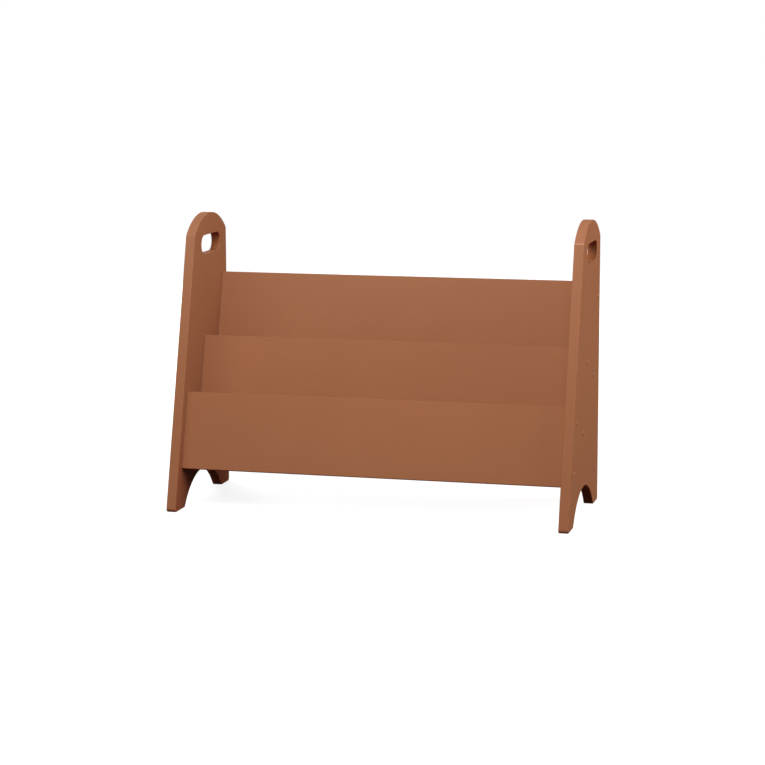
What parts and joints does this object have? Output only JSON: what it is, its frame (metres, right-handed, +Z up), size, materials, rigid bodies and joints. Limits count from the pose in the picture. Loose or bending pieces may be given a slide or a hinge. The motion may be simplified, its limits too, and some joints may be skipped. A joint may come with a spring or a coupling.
{
  "type": "book rack",
  "caption": "Free-standing book rack: arched end panels with hand slots carry leaning boards and pocket floors that hold books face out.",
  "frame": {"origin": "on the ground, at the middle of the width and of the depth", "axes": "+X along the boards to the right end panel, +Y to the back, +Z up"},
  "size_m": [0.6324, 0.2611, 0.45],
  "materials": {
    "painted_board": "semi-matte terracotta paint on board",
    "painted_cap": "semi-matte cap in the paint's colour",
    "zinc_steel": "bright zinc plating",
    "beech": "plain turned beech"
  },
  "bodies": {
    "root": {"left_side_panel": "painted_board", "right_side_panel": "painted_board", "front_board": "painted_board", "middle_board": "painted_board", "back_board": "painted_board", "front_pocket_floor": "painted_board", "rear_pocket_floor": "painted_board", "screw_left_front_lower": "zinc_steel", "cap_left_front_lower": "painted_cap", "screw_left_front_upper": "zinc_steel", "cap_left_front_upper": "painted_cap", "screw_left_middle_lower": "zinc_steel", "cap_left_middle_lower": "painted_cap", "screw_left_middle_upper": "zinc_steel", "cap_left_middle_upper": "painted_cap", "screw_left_back_lower": "zinc_steel", "cap_left_back_lower": "painted_cap", "screw_left_back_upper": "zinc_steel", "cap_left_back_upper": "painted_cap", "screw_right_front_lower": "zinc_steel", "cap_right_front_lower": "painted_cap", "screw_right_front_upper": "zinc_steel", "cap_right_front_upper": "painted_cap", "screw_right_middle_lower": "zinc_steel", "cap_right_middle_lower": "painted_cap", "screw_right_middle_upper": "zinc_steel", "cap_right_middle_upper": "painted_cap", "screw_right_back_lower": "zinc_steel", "cap_right_back_lower": "painted_cap", "screw_right_back_upper": "zinc_steel", "cap_right_back_upper": "painted_cap", "dowel_front_floor_front_left": "beech", "dowel_front_floor_front_centre": "beech", "dowel_front_floor_front_right": "beech", "dowel_front_floor_middle_left": "beech", "dowel_front_floor_middle_centre": "beech", "dowel_front_floor_middle_right": "beech", "dowel_rear_floor_middle_left": "beech", "dowel_rear_floor_middle_centre": "beech", "dowel_rear_floor_middle_right": "beech", "dowel_rear_floor_back_left": "beech", "dowel_rear_floor_back_centre": "beech", "dowel_rear_floor_back_right": "beech"}
  },
  "joints": []
}
